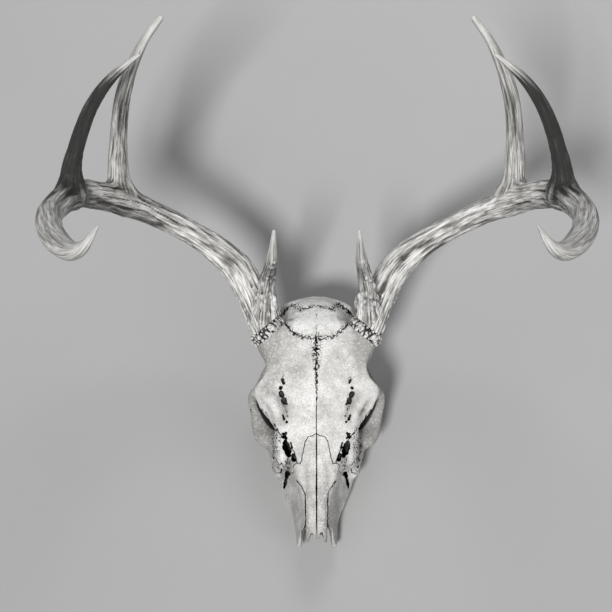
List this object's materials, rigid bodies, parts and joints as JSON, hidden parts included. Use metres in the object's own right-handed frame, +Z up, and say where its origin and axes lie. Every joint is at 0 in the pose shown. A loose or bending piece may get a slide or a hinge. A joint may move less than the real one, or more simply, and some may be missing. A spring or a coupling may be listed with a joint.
{
  "type": "white-tailed deer skull with antlers",
  "caption": "Weathered skull of a white-tailed deer buck with branching antlers, lower jaw and premaxillae missing, lying on its cheek teeth and jugular processes",
  "frame": {"origin": "centre of the footprint of the whole part, antlers included, at the level of the surface it lies on", "axes": "+Z up; +Y from the muzzle to the back of the skull; +X across the skull, along the spread of the antlers; the plane of symmetry is x = 0"},
  "size_m": [0.4676, 0.3552, 0.3652],
  "materials": {
    "bone": "dry bleached bone, matt",
    "antler": "weathered grey antler, satin on the tips",
    "burr": "rough pearled antler"
  },
  "bodies": {
    "root": {"parietal": "bone", "occipital": "bone", "sphenoid": "bone", "palatine": "bone", "nasal_left": "bone", "nasal_right": "bone", "frontal_left": "bone", "frontal_right": "bone", "lacrimal_left": "bone", "lacrimal_right": "bone", "zygomatic_left": "bone", "zygomatic_right": "bone", "maxilla_left": "bone", "maxilla_right": "bone", "temporal_left": "bone", "temporal_right": "bone", "burr_left": "burr", "burr_right": "burr", "beam_lower_left": "antler", "beam_lower_right": "antler", "beam_middle_left": "antler", "beam_middle_right": "antler", "beam_tip_left": "antler", "beam_tip_right": "antler", "tine_brow_left": "antler", "tine_brow_right": "antler", "tine_second_left": "antler", "tine_second_right": "antler", "tine_third_left": "antler", "tine_third_right": "antler"}
  },
  "joints": []
}
